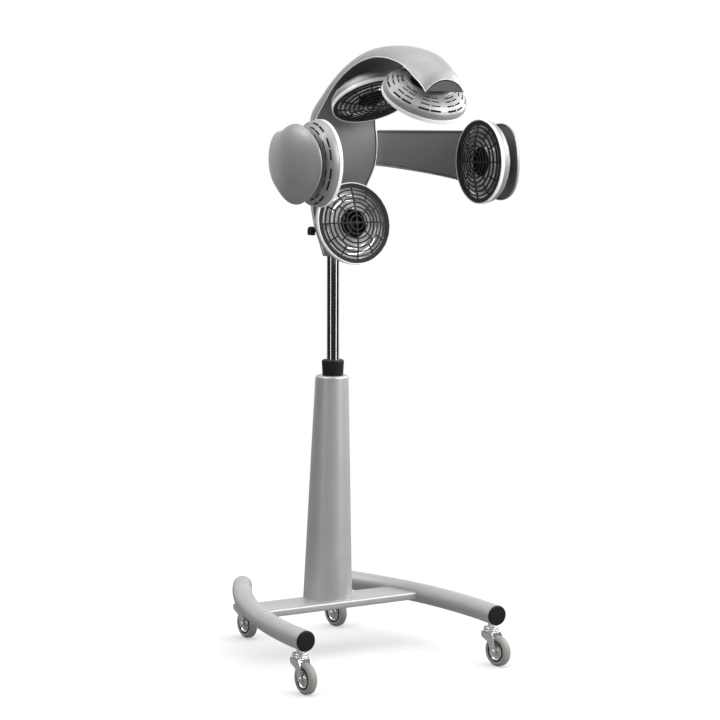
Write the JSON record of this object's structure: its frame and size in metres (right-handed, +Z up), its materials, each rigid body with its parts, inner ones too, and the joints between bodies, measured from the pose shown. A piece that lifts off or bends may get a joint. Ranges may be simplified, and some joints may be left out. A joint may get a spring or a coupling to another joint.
{
  "type": "hair color processor",
  "caption": "Salon hair processor: curved hood with ring-lamp and fan heads on swinging side arms, on a height-adjustable wheeled stand.",
  "frame": {"origin": "on the floor, under the axis of the mast", "axes": "+Z up, -Y towards the seated client (front of the hood), X across; X = 0 is the plane of symmetry"},
  "size_m": [0.6238, 0.8017, 1.5079],
  "materials": {
    "silver_paint": "satin metallic paint",
    "silver_plastic": "satin silver",
    "dark_plastic": "fine grain",
    "white_plastic": "gloss",
    "charcoal_plastic": "satin",
    "black_plastic": "satin",
    "chrome": "polished",
    "steel": "brushed",
    "zinc": "zinc plated",
    "reflector_metal": "polished",
    "lamp_glass": "frosted quartz",
    "tyre_rubber": "grey, non marking",
    "panel_plastic": "satin",
    "bush_plastic": "natural acetal"
  },
  "bodies": {
    "base": {"left_base_tube": "silver_paint", "right_base_tube": "silver_paint", "crossbar": "silver_paint", "tube_end_caps": "black_plastic", "castor_stems": "zinc", "column_cover": "silver_paint", "column_rear_panel": "silver_paint", "mains_inlet": "black_plastic", "guide_tube": "steel", "mast_bushes": "bush_plastic", "gas_spring_cylinder": "steel"},
    "lock_collar": {"lock_collar": "black_plastic"},
    "mast": {"mast_tube": "chrome", "gas_spring_rod": "steel"},
    "tilt_bracket": {"tilt_bracket": "steel"},
    "tilt_knob": {"tilt_knob": "black_plastic"},
    "hood": {"hood_outer_cover": "silver_plastic", "hood_inner_cover": "dark_plastic", "hood_frame": "steel", "badge_plate": "panel_plastic", "control_panel": "panel_plastic", "arm_hinge_pins": "steel", "nape_housing": "silver_plastic", "back_housing": "silver_plastic", "front_housing": "silver_plastic", "hood_bezels": "white_plastic", "hood_grilles": "charcoal_plastic", "hood_reflectors": "reflector_metal", "hood_lamps": "lamp_glass", "hood_fan_motors": "steel"},
    "power_button": {"power_button": "black_plastic"},
    "left_arm": {"left_arm_outer_cover": "silver_plastic", "left_arm_inner_cover": "dark_plastic", "left_housing": "silver_plastic", "left_bezel": "white_plastic", "left_grille": "charcoal_plastic", "left_reflector": "reflector_metal", "left_lamp": "lamp_glass", "left_fan_motor": "steel"},
    "right_arm": {"right_arm_outer_cover": "silver_plastic", "right_arm_inner_cover": "dark_plastic", "right_housing": "silver_plastic", "right_bezel": "white_plastic", "right_grille": "charcoal_plastic", "right_reflector": "reflector_metal", "right_lamp": "lamp_glass", "right_fan_motor": "steel"},
    "nape_fan": {"nape_fan_rotor": "black_plastic"},
    "back_fan": {"back_fan_rotor": "black_plastic"},
    "front_fan": {"front_fan_rotor": "black_plastic"},
    "left_fan": {"left_fan_rotor": "black_plastic"},
    "right_fan": {"right_fan_rotor": "black_plastic"},
    "front_left_fork": {"front_left_fork": "zinc"},
    "front_left_wheel": {"front_left_wheel": "tyre_rubber"},
    "front_right_fork": {"front_right_fork": "zinc"},
    "front_right_wheel": {"front_right_wheel": "tyre_rubber"},
    "rear_left_fork": {"rear_left_fork": "zinc"},
    "rear_left_wheel": {"rear_left_wheel": "tyre_rubber"},
    "rear_right_fork": {"rear_right_fork": "zinc"},
    "rear_right_wheel": {"rear_right_wheel": "tyre_rubber"}
  },
  "joints": [
    {"name": "height", "type": "slide", "parent": "base", "child": "mast", "axis": [0, 0, 1], "range_m": [-0.2, 0.2]},
    {"name": "collar_twist", "type": "hinge", "parent": "base", "child": "lock_collar", "pos_m": [0, 0, 0.72], "axis": [0, 0, 1], "range_deg": [0, 60]},
    {"name": "hood_swivel", "type": "hinge", "parent": "mast", "child": "tilt_bracket", "pos_m": [0, 0, 1.03], "axis": [0, 0, 1], "range_deg": [-160, 160]},
    {"name": "hood_tilt", "type": "hinge", "parent": "tilt_bracket", "child": "hood", "pos_m": [0, 0.008, 1.061], "axis": [1, 0, 0], "range_deg": [-6, 6]},
    {"name": "knob_turn", "type": "hinge", "parent": "tilt_bracket", "child": "tilt_knob", "pos_m": [-0.055, 0.008, 1.061], "axis": [-1, 0, 0], "range_deg": [0, 180]},
    {"name": "power_press", "type": "slide", "parent": "hood", "child": "power_button", "axis": [0, -1, 0], "range_m": [0, 0.003], "stiffness_N_per_m": 400},
    {"name": "left_arm_swing", "type": "hinge", "parent": "hood", "child": "left_arm", "pos_m": [-0.09, -0.02, 1.265], "axis": [0, 0, -1], "range_deg": [-8, 25]},
    {"name": "right_arm_swing", "type": "hinge", "parent": "hood", "child": "right_arm", "pos_m": [0.09, -0.02, 1.265], "axis": [0, 0, 1], "range_deg": [-8, 25]},
    {"name": "nape_fan_spin", "type": "hinge", "parent": "hood", "child": "nape_fan", "pos_m": [0, -0.106, 1.084], "axis": [0, 0.9816, -0.1908], "continuous": true},
    {"name": "back_fan_spin", "type": "hinge", "parent": "hood", "child": "back_fan", "pos_m": [0, -0.194, 1.379], "axis": [0, 0.509, 0.8607], "continuous": true},
    {"name": "front_fan_spin", "type": "hinge", "parent": "hood", "child": "front_fan", "pos_m": [0, -0.42, 1.382], "axis": [0, -0.5446, 0.8387], "continuous": true},
    {"name": "left_fan_spin", "type": "hinge", "parent": "left_arm", "child": "left_fan", "pos_m": [-0.215, -0.326, 1.236], "axis": [-1, 0, 0], "continuous": true},
    {"name": "right_fan_spin", "type": "hinge", "parent": "right_arm", "child": "right_fan", "pos_m": [0.215, -0.326, 1.236], "axis": [1, 0, 0], "continuous": true},
    {"name": "front_left_swivel", "type": "hinge", "parent": "base", "child": "front_left_fork", "pos_m": [-0.26825, -0.32001, 0.09], "axis": [0, 0, 1], "continuous": true},
    {"name": "front_left_roll", "type": "hinge", "parent": "front_left_fork", "child": "front_left_wheel", "pos_m": [-0.2665, -0.34495, 0.0375], "axis": [0.9976, 0.0698, 0], "continuous": true},
    {"name": "front_right_swivel", "type": "hinge", "parent": "base", "child": "front_right_fork", "pos_m": [0.26825, -0.32001, 0.09], "axis": [0, 0, 1], "continuous": true},
    {"name": "front_right_roll", "type": "hinge", "parent": "front_right_fork", "child": "front_right_wheel", "pos_m": [0.27302, -0.34455, 0.0375], "axis": [0.9816, 0.1908, 0], "continuous": true},
    {"name": "rear_left_swivel", "type": "hinge", "parent": "base", "child": "rear_left_fork", "pos_m": [-0.1305, 0.24506, 0.09], "axis": [0, 0, 1], "continuous": true},
    {"name": "rear_left_roll", "type": "hinge", "parent": "rear_left_fork", "child": "rear_left_wheel", "pos_m": [-0.12876, 0.22012, 0.0375], "axis": [0.9976, 0.0698, 0], "continuous": true},
    {"name": "rear_right_swivel", "type": "hinge", "parent": "base", "child": "rear_right_fork", "pos_m": [0.1305, 0.24506, 0.09], "axis": [0, 0, 1], "continuous": true},
    {"name": "rear_right_roll", "type": "hinge", "parent": "rear_right_fork", "child": "rear_right_wheel", "pos_m": [0.13484, 0.22044, 0.0375], "axis": [0.9848, 0.1736, 0], "continuous": true}
  ]
}
